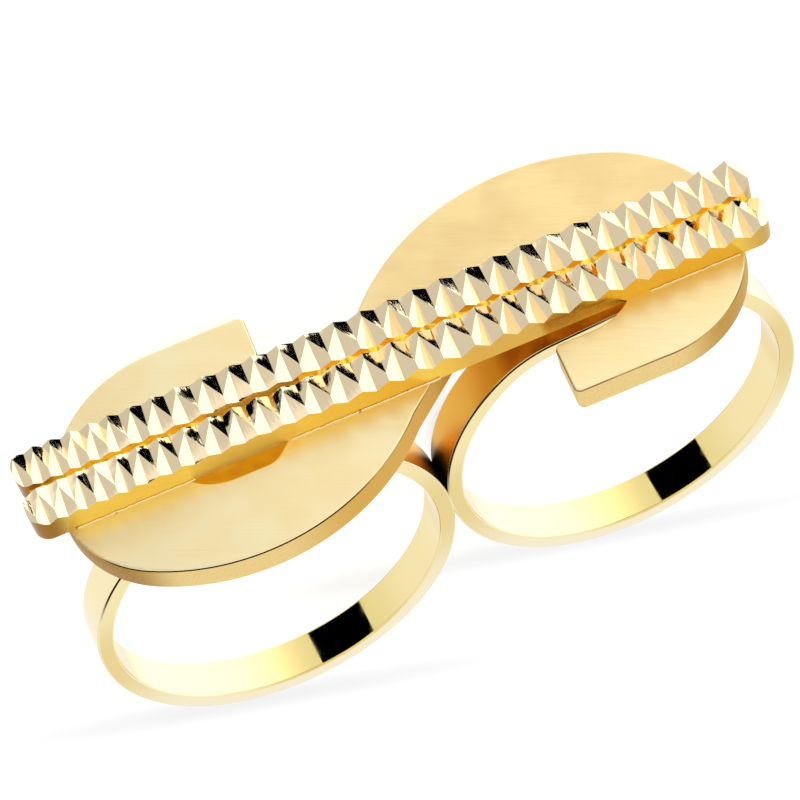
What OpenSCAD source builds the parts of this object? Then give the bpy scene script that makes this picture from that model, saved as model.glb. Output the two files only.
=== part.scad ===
// A ring for two fingers: two flat bands soldered side by side under a flat S shaped plate,
// with two diamond cut bars soldered along the middle of the plate.
// It is built upright, with the finger holes along Y and the plate on top, and then laid on its side.

/* [Finger bands] */
// Inner diameter of each finger hole
finger_d = 17.3; // [16.5:0.1:18.5]
// Thickness of the bands
band_wall = 0.85; // [0.6:0.05:1.5]
// Width of the bands, along the finger
band_w = 2.2; // [1.6:0.1:4]
// How far the flat top of each band lies below the crown of a full hoop
flat_drop = 0.7; // [0.4:0.05:0.9]
// How far round the hoop each shoulder bends from the flat top, in degrees
shoulder_turn = 33; // [30:1:40]
// How far the two bands run into each other at their solder joint
band_lap = 0.1; // [0.05:0.05:0.3]

/* [Plate] */
// Thickness of the plate
plate_t = 1.55; // [1:0.05:2.5]
// How far the flat tops of the bands are let into the plate
plate_seat = 0.15; // [0.1:0.05:0.3]
// Turn of the plate and its bars against the line of the bands
plate_turn = -3.4; // [-6:0.1:6]
// How far behind the middle of the bands the plate sits
plate_back = 1.3; // [0.8:0.1:1.8]
// From the middle of the plate to the straight free end of the right lobe
free_end_right = 7.1; // [6.8:0.1:7.5]
// From the middle of the plate to the straight free end of the left lobe
free_end_left = 5.95; // [5.5:0.05:6.4]
// Half of the height of the slot inside each lobe of the S
slot_r = 3; // [2.8:0.05:3.1]
// From the middle of the plate to the middle of a slot's round end
slot_x = 9.1; // [8.8:0.1:9.4]

/* [Bars] */
// Length of each bar
bar_l = 37.7; // [34:0.1:40]
// Width of each bar
bar_w = 2.05; // [1.6:0.05:2.4]
// Slit between the two bars
bar_gap = 0.3; // [0.2:0.05:0.8]
// Height of the plain side of the bars, up to the diamond cuts
bar_side_h = 1; // [0.8:0.05:1.6]
// Depth of the diamond cuts at the edges of a bar
cut_depth = 0.43; // [0.2:0.01:0.6]
// Number of diamond cuts in a row
cuts = 30; // [20:1:32]
// Share of a bar's width that a cut runs across
cut_reach = 0.8; // [0.7:0.01:0.95]
// Corner radius of a bar's ends, seen from above
bar_end_r = 0.8; // [0.3:0.1:0.9]

/* [Rest] */
// Lean of the finger holes' axis from upright when the ring lies on its side
lie_lean = 19.85; // [0:0.01:30]
// Tilt along the plate when the ring lies on its side
lie_tilt = 2.47; // [-10:0.01:10]

/* [Hidden] */
$fn = 96;
GOLD = "gold";
finger_r = finger_d / 2;
band_r = finger_r + band_wall;
band_x = band_r - band_lap / 2;
plate_z = band_r - flat_drop - plate_seat;
plate_top = plate_z + plate_t;
bar_y = (bar_gap + bar_w) / 2;
// How far the bars run into the plate under them
bar_sink = 0.05;
cut_pitch = bar_l / cuts;
// One step along a round stretch of the plate's edge, in degrees
arc_step = 3;
end_corner_r = 0.35;
// Middle of the foot of the ring's box as it lies, seen from the middle between the bands
rest_box = [0.019, -1.581, -4.689];

// Edges are walked as arcs and straight runs, with the metal on their right hand side.
// Columns: radius of an arc, its turn to the left in degrees, straight run after it.
RADIUS = 0;
TURN = 1;
RUN = 2;
// Inner end of a slot, from its round end to the diagonal stem of the S
slot_end = [
  [slot_r, 180, 1.6],
  [1.1, 42, 0],
];
// Outer edge of each lobe, from the stem to its near or far straight side
right_start = [-1.36, 2.38];
right_heading = 57;
right_edge = [
  [11.6, -85, 0],
  [7.15, -75, 0],
  [5.6, -81, 0],
];
// The left lobe is given turned half round, so that it reads like the right one
left_start = [0.18, 3.43];
left_heading = 50;
left_edge = [
  [11.35, -79.5, 0],
  [5.95, -78.5, 0],
  [6.75, -71, 0],
];

function last(list) = list[len(list) - 1];

// Points of an arc that starts at p with a heading, without p itself
function bend(p, heading, r, turn) =
  let(side = sign(turn), c = p + side * r * [-sin(heading), cos(heading)], n = ceil(abs(turn) / arc_step))
  [for (i = [1:n]) let(h = heading + turn * i / n) c + side * r * [sin(h), -cos(h)]];

// Points of a whole edge, row after row
function walk(p, heading, rows, i = 0) =
  i == len(rows) ? [p] :
  let(
    points = bend(p, heading, rows[i][RADIUS], rows[i][TURN]),
    turned = heading + rows[i][TURN],
    end = last(points) + rows[i][RUN] * [cos(turned), sin(turned)]
  )
  concat([p], [for (k = [0:len(points) - 2]) points[k]], rows[i][RUN] > 0 ? [last(points)] : [],
    walk(end, turned, rows, i + 1));

// Outline of a hoop with a flat top and bent shoulders
module hoop(r) {
  shoulder_r = r - flat_drop / (1 - cos(shoulder_turn));
  flat_x = (r - shoulder_r) * sin(shoulder_turn);
  rows = [
    [shoulder_r, -shoulder_turn, 0],
    [r, 2 * shoulder_turn - 360, 0],
    [shoulder_r, -shoulder_turn, 0],
  ];
  polygon(walk([flat_x, r - flat_drop], 0, rows));
}

module band(side) {
  translate([side * band_x, band_w / 2, 0])
    rotate([90, 0, 0])
      linear_extrude(band_w)
        difference() {
          hoop(band_r);
          hoop(finger_r);
        }
}

// One half of the edge of the plate: the slot beside the other lobe's free end, then this lobe
function half_edge(start, heading, rows, free_end, other_free_end) =
  let(
    slot_run = [[end_corner_r, -90, slot_x - other_free_end - end_corner_r]],
    slot = walk([-other_free_end, slot_r + end_corner_r], -90, concat(slot_run, slot_end)),
    lobe = walk(start, heading, rows),
    corner_y = last(lobe)[1],
    corner = walk([free_end + end_corner_r, corner_y], 180, [[end_corner_r, -90, 0]])
  )
  concat(slot, lobe, corner);

module s_plate() {
  right = half_edge(right_start, right_heading, right_edge, free_end_right, free_end_left);
  left = half_edge(left_start, left_heading, left_edge, free_end_left, free_end_right);
  linear_extrude(plate_t) polygon(concat(right, -left));
}

module bar_plan() {
  for (x = [-1, 1])
    for (y = [-1, 1])
      translate([x * (bar_l / 2 - bar_end_r), y * (bar_w / 2 - bar_end_r)]) circle(bar_end_r);
  square([bar_l, bar_w - 2 * bar_end_r], center = true);
  square([bar_l - 2 * bar_end_r, bar_w], center = true);
}

// The diamond cuts: two rows of V grooves that start at the two edges, rise to the middle and interleave.
// Each half pitch has a column of four points across the bar, and the columns alternate.
module cut_block() {
  n = 2 * cuts + 2;
  y_edge = bar_w / 2 + 0.5;
  y_ridge = bar_w * (cut_reach - 0.5);
  // Rise of a groove's floor across the bar, and of a groove's wall along it
  rise = cut_depth / (bar_w * (2 * cut_reach - 1));
  crown = bar_side_h + rise * bar_w * cut_reach;
  floor_out = crown - rise * (y_ridge + y_edge);
  ridge_out = crown - rise * (y_edge - y_ridge);
  function column(i) =
    let(x = (i - n / 2) * cut_pitch / 2, front = i % 2 == 0)
    front
      ? [[x, -y_edge, 0], [x, -y_edge, floor_out], [x, y_ridge, crown], [x, y_edge, ridge_out], [x, y_edge, 0]]
      : [[x, -y_edge, 0], [x, -y_edge, ridge_out], [x, -y_ridge, crown], [x, y_edge, floor_out], [x, y_edge, 0]];
  points = [for (i = [0:n]) each column(i)];
  ring = 5;
  sides = [
    for (i = [0:n - 1])
      for (k = [0:ring - 1])
        let(a = i * ring + k, b = i * ring + (k + 1) % ring)
        [a, b, b + ring, a + ring]
  ];
  ends = [[for (k = [ring - 1:-1:0]) k], [for (k = [0:ring - 1]) n * ring + k]];
  polyhedron(points, concat(sides, ends));
}

module cut_bar(side) {
  translate([0, side * bar_y, 0])
    intersection() {
      translate([0, 0, -bar_sink]) linear_extrude(bar_side_h + bar_w) bar_plan();
      translate([0, 0, -bar_sink]) cut_block();
    }
}

// The ring as it is worn, with the plate on top
module upright_ring() {
  for (side = [-1, 1])
    band(side);
  translate([0, plate_back, 0])
    rotate([0, 0, plate_turn]) {
      translate([0, 0, plate_z]) s_plate();
      translate([0, 0, plate_top]) {
        cut_bar(-1);
        cut_bar(1);
      }
    }
}

// The ring as it lies by itself: on the back edge of one band and of both lobes of the plate
module ring_body() {
  color(GOLD)
    translate(-rest_box)
      rotate([0, 0, 180])
        rotate([0, -lie_tilt, 0])
          rotate([lie_lean - 90, 0, 0])
            upright_ring();
}

ring_body();
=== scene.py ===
"""Looks of a two finger ring: polished bands, a satin S shaped plate and two diamond cut bars in gold."""

import math
import random

import bmesh
import bpy
from mathutils import Matrix, Vector
from mathutils.noise import noise


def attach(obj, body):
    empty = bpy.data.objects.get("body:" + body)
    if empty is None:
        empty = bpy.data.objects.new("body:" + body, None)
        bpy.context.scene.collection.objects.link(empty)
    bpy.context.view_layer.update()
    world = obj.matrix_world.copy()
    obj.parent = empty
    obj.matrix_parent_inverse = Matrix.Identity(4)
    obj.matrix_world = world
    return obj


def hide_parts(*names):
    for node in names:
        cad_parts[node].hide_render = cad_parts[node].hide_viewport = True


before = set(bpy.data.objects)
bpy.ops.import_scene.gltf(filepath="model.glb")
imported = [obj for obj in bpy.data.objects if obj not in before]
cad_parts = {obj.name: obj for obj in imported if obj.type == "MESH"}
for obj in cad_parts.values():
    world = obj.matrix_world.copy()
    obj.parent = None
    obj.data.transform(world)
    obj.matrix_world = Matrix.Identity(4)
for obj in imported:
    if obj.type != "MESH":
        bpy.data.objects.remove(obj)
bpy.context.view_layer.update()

MM = 0.001

# Sizes in mm, the same as the solid's
FINGER_R = 8.65
BAND_WALL = 0.85
BAND_W = 2.2
BAND_R = FINGER_R + BAND_WALL
BAND_LAP = 0.1
BAND_X = BAND_R - BAND_LAP / 2
FLAT_DROP = 0.7
SHOULDER_TURN = 33
PLATE_T = 1.55
PLATE_Z = BAND_R - FLAT_DROP - 0.15
PLATE_TOP = PLATE_Z + PLATE_T
PLATE_TURN = -3.4
PLATE_BACK = 1.3
FREE_END_RIGHT = 7.1
FREE_END_LEFT = 5.95
SLOT_R = 3.0
SLOT_X = 9.1
END_CORNER_R = 0.35
BAR_L = 37.7
BAR_W = 2.05
BAR_GAP = 0.3
BAR_Y = (BAR_GAP + BAR_W) / 2
BAR_SIDE_H = 1.0
BAR_SINK = 0.05
BAR_END_R = 0.8
CUT_DEPTH = 0.43
CUTS = 30
CUT_REACH = 0.8

# The cuts as the photo shows them, where they differ from the solid's even ones
# A turning cutter leaves a hollow floor: the power by which it rises toward the cut's inner end
CUT_HOLLOW = 1.3
# On the left the cuts are shallower where they leave a bar's front edge, and this fades toward the right
SHALLOW_FRONT = 0.3
FRONT_FADE = (-7.0, 1.0)
# They are shallower all along where they leave a bar's back edge, but less so on the right
SHALLOW_BACK = 0.2
BACK_FADE = (6, 14)
BACK_FADE_SHARE = 0.6
# The front bar's cuts at the slit are shallower still at its left end
SHALLOW_SLIT = 0.25
SLIT_FADE = (-BAR_L / 2, -6)
# Hand made cuts: how far the floor's height and its slant across the bar vary
CUT_HEIGHT_PLAY = 0.04
CUT_SLANT_PLAY = 0.06
# Spacing of the cuts against an even one: at the left end, its rise toward the middle, its fall on the right
SPACING_LEFT = 0.78
SPACING_RISE = 0.34
SPACING_FALL = 0.1
SPACING_PLAY = 0.1
# Where the rise and the fall begin and end, as shares of the bar's length
SPACING_RISE_AT = (0.05, 0.45)
SPACING_FALL_AT = (0.6, 1)
# Places across a bar, apart from the edges and ridges, where the hollow floors get a point
ACROSS = [-1.2, -0.9, -0.3, 0, 0.3, 0.9, 1.2]

# How the ring lies by itself: the same turns and shift as the solid's
LIE_LEAN = 19.85
LIE_TILT = 2.47
REST_BOX = Vector((0.019, -1.581, -4.689)) * MM
LAID = (
    Matrix.Translation(-REST_BOX)
    @ Matrix.Rotation(math.pi, 4, "Z")
    @ Matrix.Rotation(math.radians(-LIE_TILT), 4, "Y")
    @ Matrix.Rotation(math.radians(LIE_LEAN - 90), 4, "X")
)
ON_PLATE = Matrix.Translation((0, PLATE_BACK * MM, 0)) @ Matrix.Rotation(math.radians(PLATE_TURN), 4, "Z")

# The plate's edge: radius, turn to the left in degrees, straight run after it
SLOT_END = [(SLOT_R, 180, 1.6), (1.1, 42, 0)]
RIGHT_START = (-1.36, 2.38)
RIGHT_HEADING = 57
RIGHT_EDGE = [(11.6, -85, 0), (7.15, -75, 0), (5.6, -81, 0)]
LEFT_START = (0.18, 3.43)
LEFT_HEADING = 50
LEFT_EDGE = [(11.35, -79.5, 0), (5.95, -78.5, 0), (6.75, -71, 0)]


def bend(p, heading, r, turn, step):
    """Points of an arc that starts at p with a heading, without p itself."""
    side = math.copysign(1, turn)
    h0 = math.radians(heading)
    cx = p[0] - side * r * math.sin(h0)
    cy = p[1] + side * r * math.cos(h0)
    n = math.ceil(abs(turn) / step)
    points = []
    for i in range(1, n + 1):
        h = math.radians(heading + turn * i / n)
        points.append((cx + side * r * math.sin(h), cy - side * r * math.cos(h)))
    return points


def walk(p, heading, rows, step=2.0):
    """Points of a whole edge, arc after arc, with the metal on its right hand side."""
    points = [p]
    for r, turn, run in rows:
        points += bend(points[-1], heading, r, turn, step)
        heading += turn
        if run > 0:
            h = math.radians(heading)
            points.append((points[-1][0] + run * math.cos(h), points[-1][1] + run * math.sin(h)))
    return points


def add_piece(name, verts, faces, matrix, material, smooth_under=30):
    """A mesh from points in mm, shaded smooth except at edges sharper than smooth_under degrees."""
    mesh = bpy.data.meshes.new(name)
    mesh.from_pydata([Vector(v) * MM for v in verts], [], faces)
    mesh.validate()
    mesh.polygons.foreach_set("use_smooth", [True] * len(mesh.polygons))
    mesh.set_sharp_from_angle(angle=math.radians(smooth_under))
    mesh.materials.append(material)
    piece = bpy.data.objects.new(name, mesh)
    bpy.context.collection.objects.link(piece)
    piece.matrix_world = matrix
    return piece


def soft_normals(piece):
    """Wide faces keep flat normals and the narrow rounded edges beside them turn the light."""
    modifier = piece.modifiers.new("weighted_normals", "WEIGHTED_NORMAL")
    modifier.keep_sharp = True
    modifier.weight = 100


def ring_of_quads(rows, closed_rows=True):
    """Quads between the points of a grid; each row closes on itself, and so do the rows if closed_rows."""
    faces = []
    count = len(rows)
    width = len(rows[0])
    for i in range(count if closed_rows else count - 1):
        for k in range(width):
            a = i * width + k
            b = i * width + (k + 1) % width
            c = (i + 1) % count * width + (k + 1) % width
            d = (i + 1) % count * width + k
            faces.append((a, b, c, d))
    return faces


def band_path(step=2.0):
    """(point, outward normal) round the outside of a hoop with a flat top."""
    turn = math.radians(SHOULDER_TURN)
    shoulder_r = BAND_R - FLAT_DROP / (1 - math.cos(turn))
    flat_x = (BAND_R - shoulder_r) * math.sin(turn)
    rows = [
        (shoulder_r, -SHOULDER_TURN, 0),
        (BAND_R, 2 * SHOULDER_TURN - 360, 0),
        (shoulder_r, -SHOULDER_TURN, 0),
    ]
    heading = 0
    point = (flat_x, BAND_R - FLAT_DROP)
    path = [(point, (0, 1))]
    for r, arc, _run in rows:
        points = bend(point, heading, r, arc, step)
        for i, q in enumerate(points):
            h = math.radians(heading + arc * (i + 1) / len(points))
            path.append((q, (-math.sin(h), math.cos(h))))
        point = points[-1]
        heading += arc
    return path


def band_section(edge_r=0.1, steps=3):
    """Rounded rectangle across a band: (depth under the outside, distance along the finger)."""
    half = BAND_W / 2
    corners = [(edge_r, half - edge_r, 90), (BAND_WALL - edge_r, half - edge_r, 0)]
    corners += [(BAND_WALL - edge_r, edge_r - half, -90), (edge_r, edge_r - half, -180)]
    points = []
    for depth, along, start in corners:
        for i in range(steps + 1):
            a = math.radians(start + 90 - 90 * i / steps)
            points.append((depth + edge_r * math.cos(a), along + edge_r * math.sin(a)))
    return points


def band(name, side, materials):
    """A band; materials are for its two flanks, its inside, its outside and the outside's front edge."""
    verts = []
    rows = []
    for (x, z), (nx, nz) in band_path():
        row = []
        for depth, along in band_section():
            row.append((x - nx * depth, along, z - nz * depth))
        rows.append(row)
        verts += row
    seat = Matrix.Translation((side * BAND_X * MM, 0, 0))
    piece = add_piece(name, verts, ring_of_quads(rows), LAID @ seat, materials[0])
    for material in materials[1:]:
        piece.data.materials.append(material)
    # Places round the section: the inside with its rounded edges, the outside, and the outside's front edge
    width = len(rows[0])
    inside = range(4, 11)
    outside = width - 1
    front_edge = (width - 4, width - 3)
    for index, face in enumerate(piece.data.polygons):
        place = index % width
        if place in inside:
            face.material_index = 1
        elif place == outside:
            face.material_index = 2
        elif place in front_edge:
            face.material_index = 3
    soft_normals(piece)
    return piece


def plate_outline():
    """The edge of the S: for each half the slot beside the other lobe's free end, then the lobe."""

    def half(start, heading, rows, free_end, other_free_end):
        slot_run = [(END_CORNER_R, -90, SLOT_X - other_free_end - END_CORNER_R)]
        slot = walk((-other_free_end, SLOT_R + END_CORNER_R), -90, slot_run + SLOT_END)
        lobe = walk(start, heading, rows)
        corner = walk((free_end + END_CORNER_R, lobe[-1][1]), 180, [(END_CORNER_R, -90, 0)], 10)
        return slot + lobe + corner

    right = half(RIGHT_START, RIGHT_HEADING, RIGHT_EDGE, FREE_END_RIGHT, FREE_END_LEFT)
    left = half(LEFT_START, LEFT_HEADING, LEFT_EDGE, FREE_END_LEFT, FREE_END_RIGHT)
    return right + [(-x, -y) for x, y in left]


def inward(points, distance):
    """The outline moved into the metal, which lies on its right hand side."""
    moved = []
    n = len(points)
    for i in range(n):
        a = Vector(points[i - 1])
        b = Vector(points[i])
        c = Vector(points[(i + 1) % n])
        before = (b - a).normalized()
        after = (c - b).normalized()
        right_before = Vector((before.y, -before.x))
        right_after = Vector((after.y, -after.x))
        middle = (right_before + right_after).normalized()
        moved.append(b + middle * distance / max(0.5, middle.dot(right_after)))
    return moved


def plate(name, top_material, side_material, edge_material, edge=0.11, least_step=0.01):
    """The S shaped plate with rounded edges."""
    outline = []
    for p in plate_outline():
        if not outline or (Vector(p) - Vector(outline[-1])).length > least_step:
            outline.append(p)
    bevel = edge * 0.3
    # Inset of the outline and height over the plate's underside
    levels = [(edge, 0), (bevel, bevel), (0, edge), (0, PLATE_T - edge)]
    levels += [(bevel, PLATE_T - bevel), (edge, PLATE_T)]
    verts = []
    for inset, height in levels:
        for x, y in inward(outline, inset):
            verts.append((x, y, PLATE_Z + height))
    n = len(outline)
    faces = []
    for level in range(len(levels) - 1):
        for i in range(n):
            j = (i + 1) % n
            faces.append((level * n + j, level * n + i, (level + 1) * n + i, (level + 1) * n + j))
    faces.append(list(range(n)))
    faces.append([(len(levels) - 1) * n + i for i in range(n)][::-1])
    piece = add_piece(name, verts, faces, LAID @ ON_PLATE, side_material)
    piece.data.materials.append(top_material)
    piece.data.materials.append(edge_material)
    # Of the rounded top edge's two strips the upper one is satin like the top
    lower_strip, upper_strip = 3, 4
    for index, face in enumerate(piece.data.polygons):
        if face.normal.z > 0.9 or index // n == upper_strip:
            face.material_index = 1
        elif index // n == lower_strip:
            face.material_index = 2
    soft_normals(piece)
    return piece


def bar_solid(name, verts, faces):
    """A closed scratch solid for the boolean that shapes a bar."""
    mesh = bpy.data.meshes.new(name)
    mesh.from_pydata([Vector(v) * MM for v in verts], [], faces)
    work = bmesh.new()
    work.from_mesh(mesh)
    bmesh.ops.recalc_face_normals(work, faces=work.faces)
    work.to_mesh(mesh)
    work.free()
    piece = bpy.data.objects.new(name, mesh)
    bpy.context.collection.objects.link(piece)
    return piece


def blend_in(start, end, value):
    """0 before start, 1 after end and a smooth rise between them."""
    t = min(1, max(0, (value - start) / (end - start)))
    return t * t * (3 - 2 * t)


def cut_places(n, pitch):
    """Where the cuts' floors and ridges lie along a bar: hand made, and closer together at the left end."""
    steps = []
    for i in range(n):
        along = i / (n - 1)
        rise = SPACING_RISE * blend_in(*SPACING_RISE_AT, along)
        fall = SPACING_FALL * blend_in(*SPACING_FALL_AT, along)
        steps.append((SPACING_LEFT + rise - fall) * random.uniform(1 - SPACING_PLAY, 1 + SPACING_PLAY))
    scale = n * pitch / 2 / sum(steps)
    places = [-n * pitch / 4]
    for step in steps:
        places.append(places[-1] + step * scale)
    return places


def cut_columns(side):
    """The places across a bar, (edge it opens to, points across) for each cut, the ridge's place and crown.

    The cuts go from left to right, and those that open to the front edge and the back edge alternate.
    """
    n = 2 * CUTS + 2
    y_edge = BAR_W / 2 + 0.5
    y_ridge = BAR_W * (CUT_REACH - 0.5)
    rise = CUT_DEPTH / (BAR_W * (2 * CUT_REACH - 1))
    crown = BAR_SIDE_H + rise * BAR_W * CUT_REACH
    floor_out = crown - rise * (y_ridge + y_edge)
    places = cut_places(n, BAR_L / CUTS)
    across = sorted([-y_edge, -y_ridge, *ACROSS, y_ridge, y_edge])
    columns = []
    for i in range(n + 1):
        # The bars' cuts meet at the slit in step
        to_front = -1 if (i % 2 == 0) == (side > 0) else 1
        x = places[i]
        slip = random.uniform(-CUT_SLANT_PLAY, CUT_SLANT_PLAY)
        low = floor_out + random.uniform(-CUT_HEIGHT_PLAY, CUT_HEIGHT_PLAY)
        if to_front < 0:
            low += SHALLOW_FRONT * (1 - blend_in(*FRONT_FADE, x))
        else:
            low += SHALLOW_BACK * (1 - BACK_FADE_SHARE * blend_in(*BACK_FADE, x))
            if side < 0:
                low += SHALLOW_SLIT * (1 - blend_in(*SLIT_FADE, x))
        column = []
        for y in across:
            t = (y_edge - to_front * y) / (y_edge + y_ridge)
            if t <= 1:
                z = low + (crown - low) * t ** CUT_HOLLOW
            else:
                z = crown - rise * (-to_front * y - y_ridge)
            column.append(Vector((x + slip * (1 - 2 * t), y, z - BAR_SINK)))
        columns.append((to_front, column))
    return across, columns, y_ridge, crown


def cut_block(side):
    """A block with two rows of V cuts that start at a bar's edges and interleave along its middle."""
    across, columns, y_ridge, crown = cut_columns(side)
    size = len(across)
    n = len(columns) - 1
    verts = []
    faces = []
    floor_row = []
    for to_front, column in columns:
        floor_row.append(len(verts))
        verts += column
        # The two corners of the foot under this column
        verts += [Vector((end.x, end.y, -BAR_SINK)) for end in (column[-1], column[0])]
    for i in range(n):
        a = floor_row[i]
        b = floor_row[i + 1]
        to_front, column = columns[i]
        beside = columns[i + 1][1]
        # The crest between two neighbouring cuts crosses the bar's middle from one column to the other
        crest = []
        for k, y in enumerate(across):
            share = min(1, max(0, 0.5 + 0.5 * y * to_front / y_ridge))
            if share == 0:
                crest.append(a + k)
            elif share == 1:
                crest.append(b + k)
            else:
                crest.append(len(verts))
                x = column[k].x * (1 - share) + beside[k].x * share
                verts.append(Vector((x, y, crown - BAR_SINK)))
        for k in range(size - 1):
            left_side = (a + k, a + k + 1)
            middle = (crest[k], crest[k + 1])
            right_side = (b + k, b + k + 1)
            for left, right in ((left_side, middle), (middle, right_side)):
                for corners in ((left[0], left[1], right[1]), (left[0], right[1], right[0])):
                    if len(set(corners)) == 3:
                        faces.append(corners)
        faces.append((a + size - 1, a + size, b + size, b + size - 1))
        faces.append((a + size, a + size + 1, b + size + 1, b + size))
        faces.append((a + size + 1, a, b, b + size + 1))
    faces.append([floor_row[0] + k for k in range(size + 2)][::-1])
    faces.append([floor_row[n] + k for k in range(size + 2)])
    return bar_solid("cut_block", verts, faces)


def bar_prism():
    """A bar's outline with round corners, taller than the cuts."""
    corner_steps = 12
    plan = []
    for cx, cy, start in ((1, 1, 0), (-1, 1, 90), (-1, -1, 180), (1, -1, 270)):
        for i in range(corner_steps + 1):
            a = math.radians(start + 90 * i / corner_steps)
            x = cx * (BAR_L / 2 - BAR_END_R) + BAR_END_R * math.cos(a)
            y = cy * (BAR_W / 2 - BAR_END_R) + BAR_END_R * math.sin(a)
            plan.append((x, y))
    m = len(plan)
    verts = [(x, y, -BAR_SINK) for x, y in plan] + [(x, y, BAR_SIDE_H + BAR_W) for x, y in plan]
    faces = [(i, (i + 1) % m, m + (i + 1) % m, m + i) for i in range(m)]
    faces += [list(range(m))[::-1], list(range(m, 2 * m))]
    return bar_solid("bar_plan", verts, faces)


def cut_bar(name, side, materials, seed):
    """A diamond cut bar; materials are for its cuts and for its plain sides."""
    random.seed(seed)
    block = cut_block(side)
    prism = bar_prism()
    cut = prism.modifiers.new("cut", "BOOLEAN")
    cut.operation = "INTERSECT"
    cut.solver = "EXACT"
    cut.object = block
    bpy.context.view_layer.update()
    shaped = bpy.data.meshes.new_from_object(prism.evaluated_get(bpy.context.evaluated_depsgraph_get()))
    for scratch in (block, prism):
        bpy.data.objects.remove(scratch, do_unlink=True)
    shaped.name = name
    shaped.materials.clear()
    for material in materials:
        shaped.materials.append(material)
    for face in shaped.polygons:
        face.material_index = 0 if face.normal.z > 0.3 else 1
    shaped.polygons.foreach_set("use_smooth", [True] * len(shaped.polygons))
    shaped.set_sharp_from_angle(angle=math.radians(15))
    piece = bpy.data.objects.new(name, shaped)
    bpy.context.collection.objects.link(piece)
    piece.matrix_world = LAID @ ON_PLATE @ Matrix.Translation((0, side * BAR_Y * MM, PLATE_TOP * MM))
    return piece


def solder_line(name, x_from, x_to, y, low, high, width, material, seed):
    """A rough run of solder along the bars, in the frame of the plate."""
    step = 0.08
    swell_height = 0.08
    sway_width = 0.02
    shoulder = 0.03
    steps = max(2, int((x_to - x_from) / step))
    verts = []
    rows = []
    for i in range(steps + 1):
        x = x_from + (x_to - x_from) * i / steps
        swell = noise(Vector((x * 1.7, seed, 0))) * 0.6 + noise(Vector((x * 5.1, seed, 3))) * 0.4
        top = high + swell * swell_height
        sway = noise(Vector((x * 3.3, seed, 7))) * sway_width
        row = [(x, y - width / 2, low), (x, y - width / 2, top - shoulder), (x, y + sway, top)]
        row += [(x, y + width / 2, top - shoulder), (x, y + width / 2, low)]
        rows.append(row)
        verts += row
    faces = ring_of_quads(rows, False)
    last_row = len(verts) - len(rows[0])
    faces += [(0, 1, 2, 3, 4), tuple(last_row + k for k in (4, 3, 2, 1, 0))]
    return add_piece(name, verts, faces, LAID @ ON_PLATE, material, 60)


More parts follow.
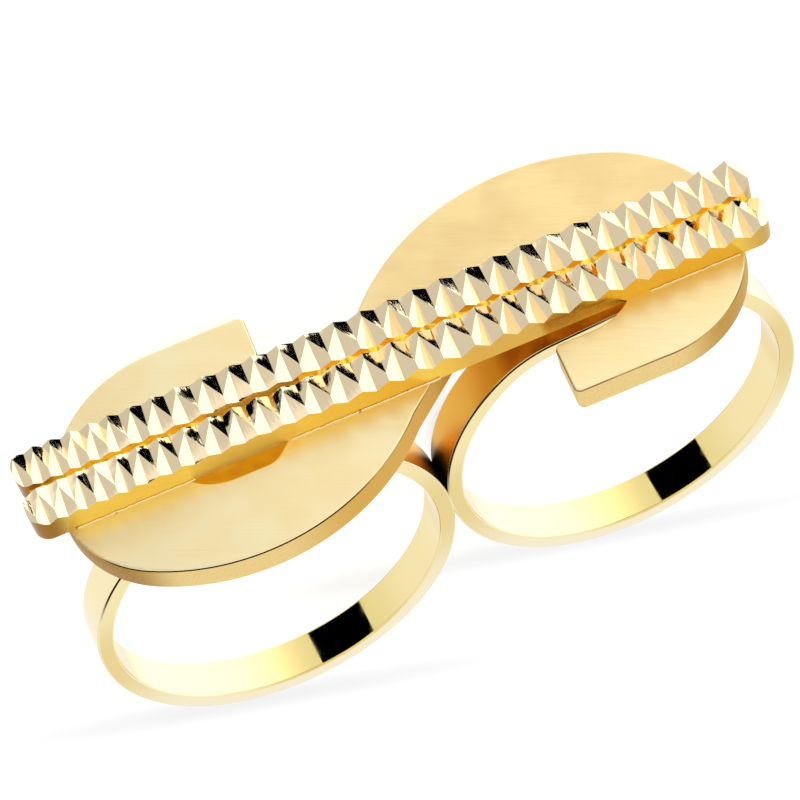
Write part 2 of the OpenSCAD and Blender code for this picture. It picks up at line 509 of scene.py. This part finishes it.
class Shade:
    """A metal whose colour, roughness and relief come from nodes that read the piece's own coordinates."""

    def __init__(self, name, colour, roughness):
        self.material = bpy.data.materials.new(name)
        self.material.use_nodes = True
        self.tree = self.material.node_tree
        self.shader = self.tree.nodes["Principled BSDF"]
        self.shader.inputs["Base Color"].default_value = (*colour, 1)
        self.shader.inputs["Metallic"].default_value = 1
        self.shader.inputs["Roughness"].default_value = roughness
        self.place = self.tree.nodes.new("ShaderNodeTexCoord").outputs["Object"]

    def link(self, a, b):
        self.tree.links.new(a, b)

    def noise(self, scale, stretch=(1, 1, 1), turn=0.0, detail=3.0):
        """Noise with scale in features per mm, turned about Z and then squeezed by stretch."""
        mapping = self.tree.nodes.new("ShaderNodeMapping")
        mapping.inputs["Scale"].default_value = tuple(v * scale / MM for v in stretch)
        texture = self.tree.nodes.new("ShaderNodeTexNoise")
        texture.inputs["Scale"].default_value = 1
        texture.inputs["Detail"].default_value = detail
        where = self.turned(self.place, turn) if turn else self.place
        self.link(where, mapping.inputs["Vector"])
        self.link(mapping.outputs["Vector"], texture.inputs["Vector"])
        return texture.outputs["Fac"]

    def turned(self, place, turn):
        """Coordinates turned about Z, in degrees."""
        spin = self.tree.nodes.new("ShaderNodeMapping")
        spin.inputs["Rotation"].default_value = (0, 0, math.radians(turn))
        self.link(place, spin.inputs["Vector"])
        return spin.outputs["Vector"]

    def along(self, axis, start, end):
        """0 to 1 as the piece's coordinate goes from start to end, in mm."""
        split = self.tree.nodes.new("ShaderNodeSeparateXYZ")
        self.link(self.place, split.inputs["Vector"])
        return self.ramp(split.outputs[axis], start * MM, end * MM, 0, 1)

    def spot(self, x, y, length, width, turn, strength):
        """A soft ellipse on the plane: strength at its middle and nothing at its edge."""
        middle = self.tree.nodes.new("ShaderNodeVectorMath")
        middle.operation = "SUBTRACT"
        middle.inputs[1].default_value = (x * MM, y * MM, 0)
        self.link(self.place, middle.inputs[0])
        squeeze = self.tree.nodes.new("ShaderNodeMapping")
        squeeze.inputs["Scale"].default_value = (1 / (length * MM), 1 / (width * MM), 1)
        self.link(self.turned(middle.outputs["Vector"], -turn), squeeze.inputs["Vector"])
        reach = self.tree.nodes.new("ShaderNodeVectorMath")
        reach.operation = "LENGTH"
        self.link(squeeze.outputs["Vector"], reach.inputs[0])
        return self.ramp(reach.outputs["Value"], 0, 1, strength, 0)

    def ramp(self, value, low, high, to_low, to_high):
        """to_low at low and to_high at high, with a smooth rise between them."""
        made = self.tree.nodes.new("ShaderNodeMapRange")
        made.interpolation_type = "SMOOTHSTEP"
        made.inputs["From Min"].default_value = low
        made.inputs["From Max"].default_value = high
        made.inputs["To Min"].default_value = to_low
        made.inputs["To Max"].default_value = to_high
        self.link(value, made.inputs["Value"])
        return made.outputs["Result"]

    def combine(self, operation, a, b):
        made = self.tree.nodes.new("ShaderNodeMath")
        made.operation = operation
        self.link(a, made.inputs[0])
        self.link(b, made.inputs[1])
        return made.outputs["Value"]

    def times(self, a, b):
        return self.combine("MULTIPLY", a, b)

    def plus(self, a, b):
        return self.combine("ADD", a, b)

    def paint(self, factor, colour):
        """Mixes another colour over the present one by a factor."""
        mix = self.tree.nodes.new("ShaderNodeMix")
        mix.data_type = "RGBA"
        socket = self.shader.inputs["Base Color"]
        if socket.is_linked:
            self.link(socket.links[0].from_socket, mix.inputs[6])
        else:
            mix.inputs[6].default_value = socket.default_value
        mix.inputs[7].default_value = (*colour, 1)
        self.link(factor, mix.inputs[0])
        self.link(mix.outputs[2], socket)

    def rough(self, value):
        """Roughness from nodes."""
        self.link(value, self.shader.inputs["Roughness"])

    def relief(self, height, depth):
        """Bump of a depth in mm."""
        bump = self.tree.nodes.new("ShaderNodeBump")
        bump.inputs["Distance"].default_value = depth * MM
        self.link(height, bump.inputs["Height"])
        self.link(bump.outputs["Normal"], self.shader.inputs["Normal"])


POLISHED = (0.95, 0.83, 0.5)
DEEP_GOLD = (0.93, 0.59, 0.07)
AMBER = (0.72, 0.42, 0.07)
# A near black, painted for shade and dark reflections
PAINTED_DARK = (0.03, 0.015, 0.005)


def flank_gold():
    """The flanks of the bands, with painted shade: palest at the foot of the hoop, deeper beside its middle.
    """
    shade = Shade("flank_gold", (0.93, 0.84, 0.6), 0.12)
    shade.paint(shade.times(shade.along("Z", -6.5, -1), shade.along("Z", 7, 2)), (0.82, 0.65, 0.29))
    shade.paint(shade.along("Z", 1, 5), (0.93, 0.79, 0.43))
    shade.rough(shade.ramp(shade.noise(2.5), 0.3, 0.7, 0.09, 0.16))
    return shade.material


def inner_gold():
    """The polished inside of a band, with painted shade: deeper at the foot of the hoop and at its right
    hand side.
    """
    shade = Shade("inner_gold", POLISHED, 0.05)
    shade.paint(shade.along("X", -6, -1), (0.92, 0.77, 0.41))
    deep = shade.times(shade.along("X", -4, -0.5), shade.along("X", 6.5, 3.5))
    shade.paint(shade.times(deep, shade.along("Z", 0, -3)), (0.82, 0.67, 0.27))
    shade.paint(shade.along("X", 8.2, 8.6), (0.85, 0.66, 0.28))
    shade.rough(shade.ramp(shade.noise(1.5), 0.3, 0.7, 0.03, 0.08))
    return shade.material


def outer_gold(side, slot_reflection):
    """The outside of a band, with painted reflection and shade: deep amber where it is shut in under the
    plate and beside the other band.
    """
    shade = Shade("outer_gold", POLISHED, 0.06)
    shut_in = shade.times(shade.along("Z", -3, 1), shade.along("X", side * 5.5, side * 2.5))
    shade.paint(shut_in, (0.85, 0.46, 0.06))
    # A painted reflection on the flat top, which shows through the slot of the plate
    cloud = shade.ramp(shade.noise(0.9, detail=4), 0.35, 0.65, 0.3, 1)
    shade.paint(shade.times(shade.along("Z", 8.1, 8.6), cloud), slot_reflection)
    # Painted shade, dark beside the solder joint of the two bands
    shade.paint(shade.along("X", side * -8.9, side * -9.4), PAINTED_DARK)
    shade.rough(shade.ramp(shut_in, 0, 1, 0.07, 0.36))
    return shade.material


def satin_gold():
    """The plate's brushed top, with soft clouds in its colour."""
    shade = Shade("satin_gold", (1.0, 0.87, 0.53), 0.4)
    # Painted shade: deeper toward the right and the back of the plate
    shade.paint(shade.times(shade.along("X", -4, 2), shade.along("Y", -9, 1)), (0.85, 0.64, 0.3))
    shade.paint(shade.ramp(shade.noise(0.35, detail=2), 0.35, 0.7, 0, 0.6), (0.98, 0.77, 0.38))
    grain = shade.noise(9, (0.06, 1, 1), 27, 4)
    shade.rough(shade.ramp(grain, 0.3, 0.7, 0.34, 0.46))
    shade.relief(grain, 0.004)
    return shade.material


def sawn_gold():
    """The plate's sides and slots, matt from the saw, with painted shade: amber toward the middle and darker
    beside the ends of the bars.
    """
    shade = Shade("sawn_gold", (0.88, 0.67, 0.29), 0.5)
    speckle = shade.noise(13, detail=4)
    shade.paint(shade.times(shade.along("X", -9, -4), shade.along("X", 7, 1)), AMBER)
    shade.paint(shade.along("X", -13, -15.5), (0.4, 0.21, 0.03))
    shade.paint(shade.along("X", 12, 15), (0.55, 0.31, 0.04))
    shade.paint(shade.ramp(speckle, 0.4, 0.75, 0, 0.5), (0.7, 0.48, 0.15))
    shade.relief(speckle, 0.004)
    return shade.material


def edge_gold():
    """The rounded edge of the plate's top, with a painted dark line that stands in for shade and dark
    reflection along it.
    """
    shade = Shade("edge_gold", (0.8, 0.55, 0.18), 0.4)
    wear_and_shade = shade.ramp(shade.noise(0.3, detail=2), 0.35, 0.6, 0.3, 0.75)
    shade.paint(wear_and_shade, (0.09, 0.04, 0.01))
    # The painted dark line is darkest along the near edge of the left lobe
    shade.paint(shade.times(shade.along("X", -3, -5), shade.along("Y", -4, -5)), (0.03, 0.015, 0.004))
    return shade.material


def front_edge_gold(dark_from, dark_to):
    """The front edge of a band's outside, with a painted dark reflection where the band rises to the plate.
    """
    shade = Shade("front_edge_gold", (0.9, 0.78, 0.48), 0.2)
    rising = shade.times(shade.along("Z", dark_from, dark_to), shade.along("X", 3, -1))
    shade.paint(rising, PAINTED_DARK)
    shade.rough(shade.ramp(shade.noise(2), 0.3, 0.7, 0.15, 0.3))
    return shade.material


def cut_gold():
    """The diamond cuts: near mirrors with the faint marks of the cutter."""
    shade = Shade("cut_gold", (0.98, 0.81, 0.53), 0.03)
    marks = shade.noise(5, (1, 0.2, 1), 0, 4)
    shade.rough(shade.ramp(marks, 0.3, 0.7, 0.02, 0.1))
    shade.relief(marks, 0.006)
    return shade.material


def bar_side_gold():
    """The plain sides of the bars, with painted reflection and shade: bright at the left end, deep amber to
    the right and darker at both ends.
    """
    shade = Shade("bar_side_gold", (0.97, 0.73, 0.17), 0.2)
    shade.paint(shade.along("X", -10, 3), DEEP_GOLD)
    shade.paint(shade.times(shade.along("X", 1, 4), shade.along("X", 11, 8)), AMBER)
    shade.paint(shade.along("X", 16.5, 18.5), (0.62, 0.38, 0.08))
    shade.paint(shade.along("X", -16.3, -18.0), (0.34, 0.15, 0.015))
    grain = shade.noise(3, (0.25, 1, 1), 0, 4)
    wear_and_shade = shade.ramp(grain, 0.3, 0.7, 0.14, 0.32)
    # Duller over the left slot
    over_slot = shade.times(shade.along("X", -11.5, -10.5), shade.along("X", -5, -6))
    shade.rough(shade.plus(wear_and_shade, shade.ramp(over_slot, 0, 1, 0, 0.45)))
    shade.relief(grain, 0.006)
    return shade.material


def fillet_gold():
    """The thin line of solder at the foot of the bars, with specks of dirt."""
    shade = Shade("fillet_gold", (0.97, 0.77, 0.38), 0.35)
    shade.paint(shade.ramp(shade.noise(2.5, detail=4), 0.62, 0.68, 0, 0.9), (0.45, 0.18, 0.02))
    shade.rough(shade.ramp(shade.noise(6), 0.3, 0.7, 0.25, 0.45))
    return shade.material


def solder_gold():
    """Lumpy amber solder in the slit between the bars."""
    shade = Shade("solder_gold", (1.0, 0.62, 0.07), 0.35)
    blobs = shade.noise(4, (0.5, 1, 1), 0, 4)
    shade.paint(shade.ramp(blobs, 0.5, 0.7, 0, 0.8), (0.75, 0.36, 0.02))
    shade.rough(shade.ramp(blobs, 0.3, 0.7, 0.25, 0.5))
    shade.relief(blobs, 0.015)
    return shade.material


flank = flank_gold()
inner = inner_gold()
bar_golds = (cut_gold(), bar_side_gold())
solder = solder_gold()

# The slit is bridged by solder but for the stretch over the left slot
SLIT_OPEN = (-9.3, -4.6)
SLIT_FILL = 1.1
bar_end = BAR_L / 2 - 0.5
slit_top = PLATE_TOP + SLIT_FILL
# It reaches a little into the bars
slit_width = BAR_GAP + 0.1
pieces = [
    # The flat tops' painted reflections in the slots: bright amber on the left band, dark brown on the right
    band("band_left", -1, (flank, inner, outer_gold(-1, (1.0, 0.64, 0.08)), front_edge_gold(3.5, 5.5))),
    band("band_right", 1, (flank, inner, outer_gold(1, (0.6, 0.24, 0.02)), front_edge_gold(0, 3))),
    plate("s_plate", satin_gold(), sawn_gold(), edge_gold()),
    cut_bar("bar_front", -1, bar_golds, 11),
    cut_bar("bar_back", 1, bar_golds, 7),
    solder_line("solder_left", -bar_end, SLIT_OPEN[0], 0, PLATE_TOP, slit_top, slit_width, solder, 1.5),
    solder_line("solder_right", SLIT_OPEN[1], bar_end, 0, PLATE_TOP, slit_top, slit_width, solder, 4.5),
]
# Where the bars stand on the plate a fine line of solder runs along their feet: name, side, from and to
FILLETS = [
    ("fillet_front_left", -1, -17.0, -10.9),
    ("fillet_front_middle", -1, -6.0, 1.6),
    ("fillet_front_right", -1, 12.4, 17.0),
    ("fillet_back_left", 1, -16.0, -14.6),
    ("fillet_back_right", 1, 6.2, 16.4),
]
# The line's middle off the bar's side, its foot sunk into the plate, its height and its width
FILLET_OFF = 0.03
FILLET_SINK = 0.02
FILLET_H = 0.07
FILLET_W = 0.09
fillet = fillet_gold()
fillet_low = PLATE_TOP - FILLET_SINK
fillet_high = PLATE_TOP + FILLET_H
for name, side, x_from, x_to in FILLETS:
    foot = side * (BAR_GAP / 2 + BAR_W + FILLET_OFF)
    line = solder_line(name, x_from, x_to, foot, fillet_low, fillet_high, FILLET_W, fillet, x_from)
    pieces.append(line)
for piece in pieces:
    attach(piece, "root")
    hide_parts("ring_body")

# Floor, with the faint long shadows that soft light leaves at the foot of each band
FLOOR_REACH = 0.6
# It glows with its own colour, so that it stays white with little light cast on the ring
FLOOR_COLOUR = (0.45, 0.45, 0.45)
FLOOR_GLOW = 1.6
SHADOW_COLOUR = (0.25, 0.25, 0.265)
# Columns: middle x and y, half length, half width, turn in degrees, strength
FLOOR_SHADOWS = [
    (12.0, 12.4, 32.0, 2.0, 159, 0.55),
    (-8.0, 13.0, 32.0, 1.9, 160, 0.55),
    # Close under the plate, between the bands
    (-1.9, 1.3, 3.2, 1.4, 55, 0.6),
]


def floor_piece():
    """The pale floor at z = 0."""
    mesh = bpy.data.meshes.new("floor")
    r = FLOOR_REACH
    mesh.from_pydata([(-r, -r, 0), (r, -r, 0), (r, r, 0), (-r, r, 0)], [], [(0, 1, 2, 3)])
    shade = Shade("floor", FLOOR_COLOUR, 0.6)
    shade.shader.inputs["Metallic"].default_value = 0
    shade.shader.inputs["Emission Strength"].default_value = FLOOR_GLOW
    for x, y, length, width, turn, strength in FLOOR_SHADOWS:
        shade.paint(shade.spot(x, y, length, width, turn, strength), SHADOW_COLOUR)
    painted = shade.shader.inputs["Base Color"].links[0].from_socket
    shade.link(painted, shade.shader.inputs["Emission Color"])
    mesh.materials.append(shade.material)
    piece = bpy.data.objects.new("floor", mesh)
    bpy.context.collection.objects.link(piece)
    return piece


floor = floor_piece()
# The polish mirrors the soft boxes all round and below, as over a light table
floor.visible_glossy = False


def world_light(base, boxes):
    """Even light from all round, with soft boxes and dark flags."""
    world = bpy.data.worlds.new("studio")
    bpy.context.scene.world = world
    world.use_nodes = True
    tree = world.node_tree
    background = tree.nodes["Background"]
    background.inputs["Color"].default_value = (1, 1, 1, 1)
    coordinates = tree.nodes.new("ShaderNodeTexCoord")
    total = None
    for direction, width, softness, strength in boxes:
        dot = tree.nodes.new("ShaderNodeVectorMath")
        dot.operation = "DOT_PRODUCT"
        dot.inputs[1].default_value = Vector(direction).normalized()
        tree.links.new(coordinates.outputs["Generated"], dot.inputs[0])
        ramp = tree.nodes.new("ShaderNodeMapRange")
        ramp.interpolation_type = "SMOOTHSTEP"
        ramp.inputs["From Min"].default_value = math.cos(math.radians(width + softness))
        ramp.inputs["From Max"].default_value = math.cos(math.radians(width))
        ramp.inputs["To Min"].default_value = 0
        ramp.inputs["To Max"].default_value = strength
        tree.links.new(dot.outputs["Value"], ramp.inputs["Value"])
        add = tree.nodes.new("ShaderNodeMath")
        add.operation = "ADD"
        if total is None:
            add.inputs[0].default_value = base
        else:
            tree.links.new(total, add.inputs[0])
        tree.links.new(ramp.outputs["Result"], add.inputs[1])
        total = add.outputs["Value"]
    keep = tree.nodes.new("ShaderNodeMath")
    keep.operation = "MAXIMUM"
    keep.inputs[1].default_value = 0
    tree.links.new(total, keep.inputs[0])
    tree.links.new(keep.outputs["Value"], background.inputs["Strength"])


# Direction, half width and softness of the edge in degrees, strength added to the even light
world_light(
    1.0,
    [
        # Large soft boxes on the left and in front
        ((-0.86, -0.36, -0.35), 35, 30, 0.55),
        ((-0.06, -0.64, -0.77), 25, 22, 0.08),
        # Dim stretches that the cut facets facing left mirror
        ((0.85, -0.52, -0.02), 13, 8, -0.3),
        ((0.43, -0.3, -0.85), 13, 8, -0.4),
        # The dim side of the room, beside the camera
        ((0.1, -0.58, 0.81), 9, 7, -0.15),
        # A black flag that the insides of both bands mirror
        ((0.34, -0.904, -0.259), 16.8, 0.8, -3),
        # Black flags that the walls of the cuts mirror: at the bar's edge, and where the cuts run out
        ((-0.623, -0.36, -0.695), 5.5, 0.7, -3),
        ((-0.604, -0.507, -0.616), 4.5, 0.7, -3),
        ((0.076, -0.432, -0.899), 6.5, 0.7, -3),
    ],
)

# Camera, fitted in the frame of the upright ring and carried along with it as it is laid down
CAMERA_AZIMUTH = math.radians(-6.8229)
CAMERA_ELEVATION = math.radians(55.3845)
CAMERA_ROLL = math.radians(-19.672)
CAMERA_DISTANCE = 173.0
CAMERA_TARGET = Vector((-0.5746, 0, 8.5084))
CAMERA_FOCAL_PX = 3619.576
IMAGE_PX = 800
SENSOR = 36.0

back = Vector(
    (
        math.sin(CAMERA_AZIMUTH) * math.cos(CAMERA_ELEVATION),
        -math.cos(CAMERA_AZIMUTH) * math.cos(CAMERA_ELEVATION),
        math.sin(CAMERA_ELEVATION),
    )
)
right = Vector((0, 0, 1)).cross(back).normalized()
up = back.cross(right)
right_rolled = right * math.cos(CAMERA_ROLL) + up * math.sin(CAMERA_ROLL)
up_rolled = up * math.cos(CAMERA_ROLL) - right * math.sin(CAMERA_ROLL)
place = (CAMERA_TARGET + back * CAMERA_DISTANCE) * MM
upright_camera = Matrix.Translation(place) @ Matrix((right_rolled, up_rolled, back)).transposed().to_4x4()

camera_data = bpy.data.cameras.new("camera")
camera_data.sensor_width = SENSOR
camera_data.lens = CAMERA_FOCAL_PX / IMAGE_PX * SENSOR
camera_data.clip_start = 0.01
camera_data.clip_end = 10
camera = bpy.data.objects.new("camera", camera_data)
bpy.context.collection.objects.link(camera)
camera.matrix_world = LAID @ upright_camera
bpy.context.scene.camera = camera
bpy.context.scene.view_settings.view_transform = "Standard"
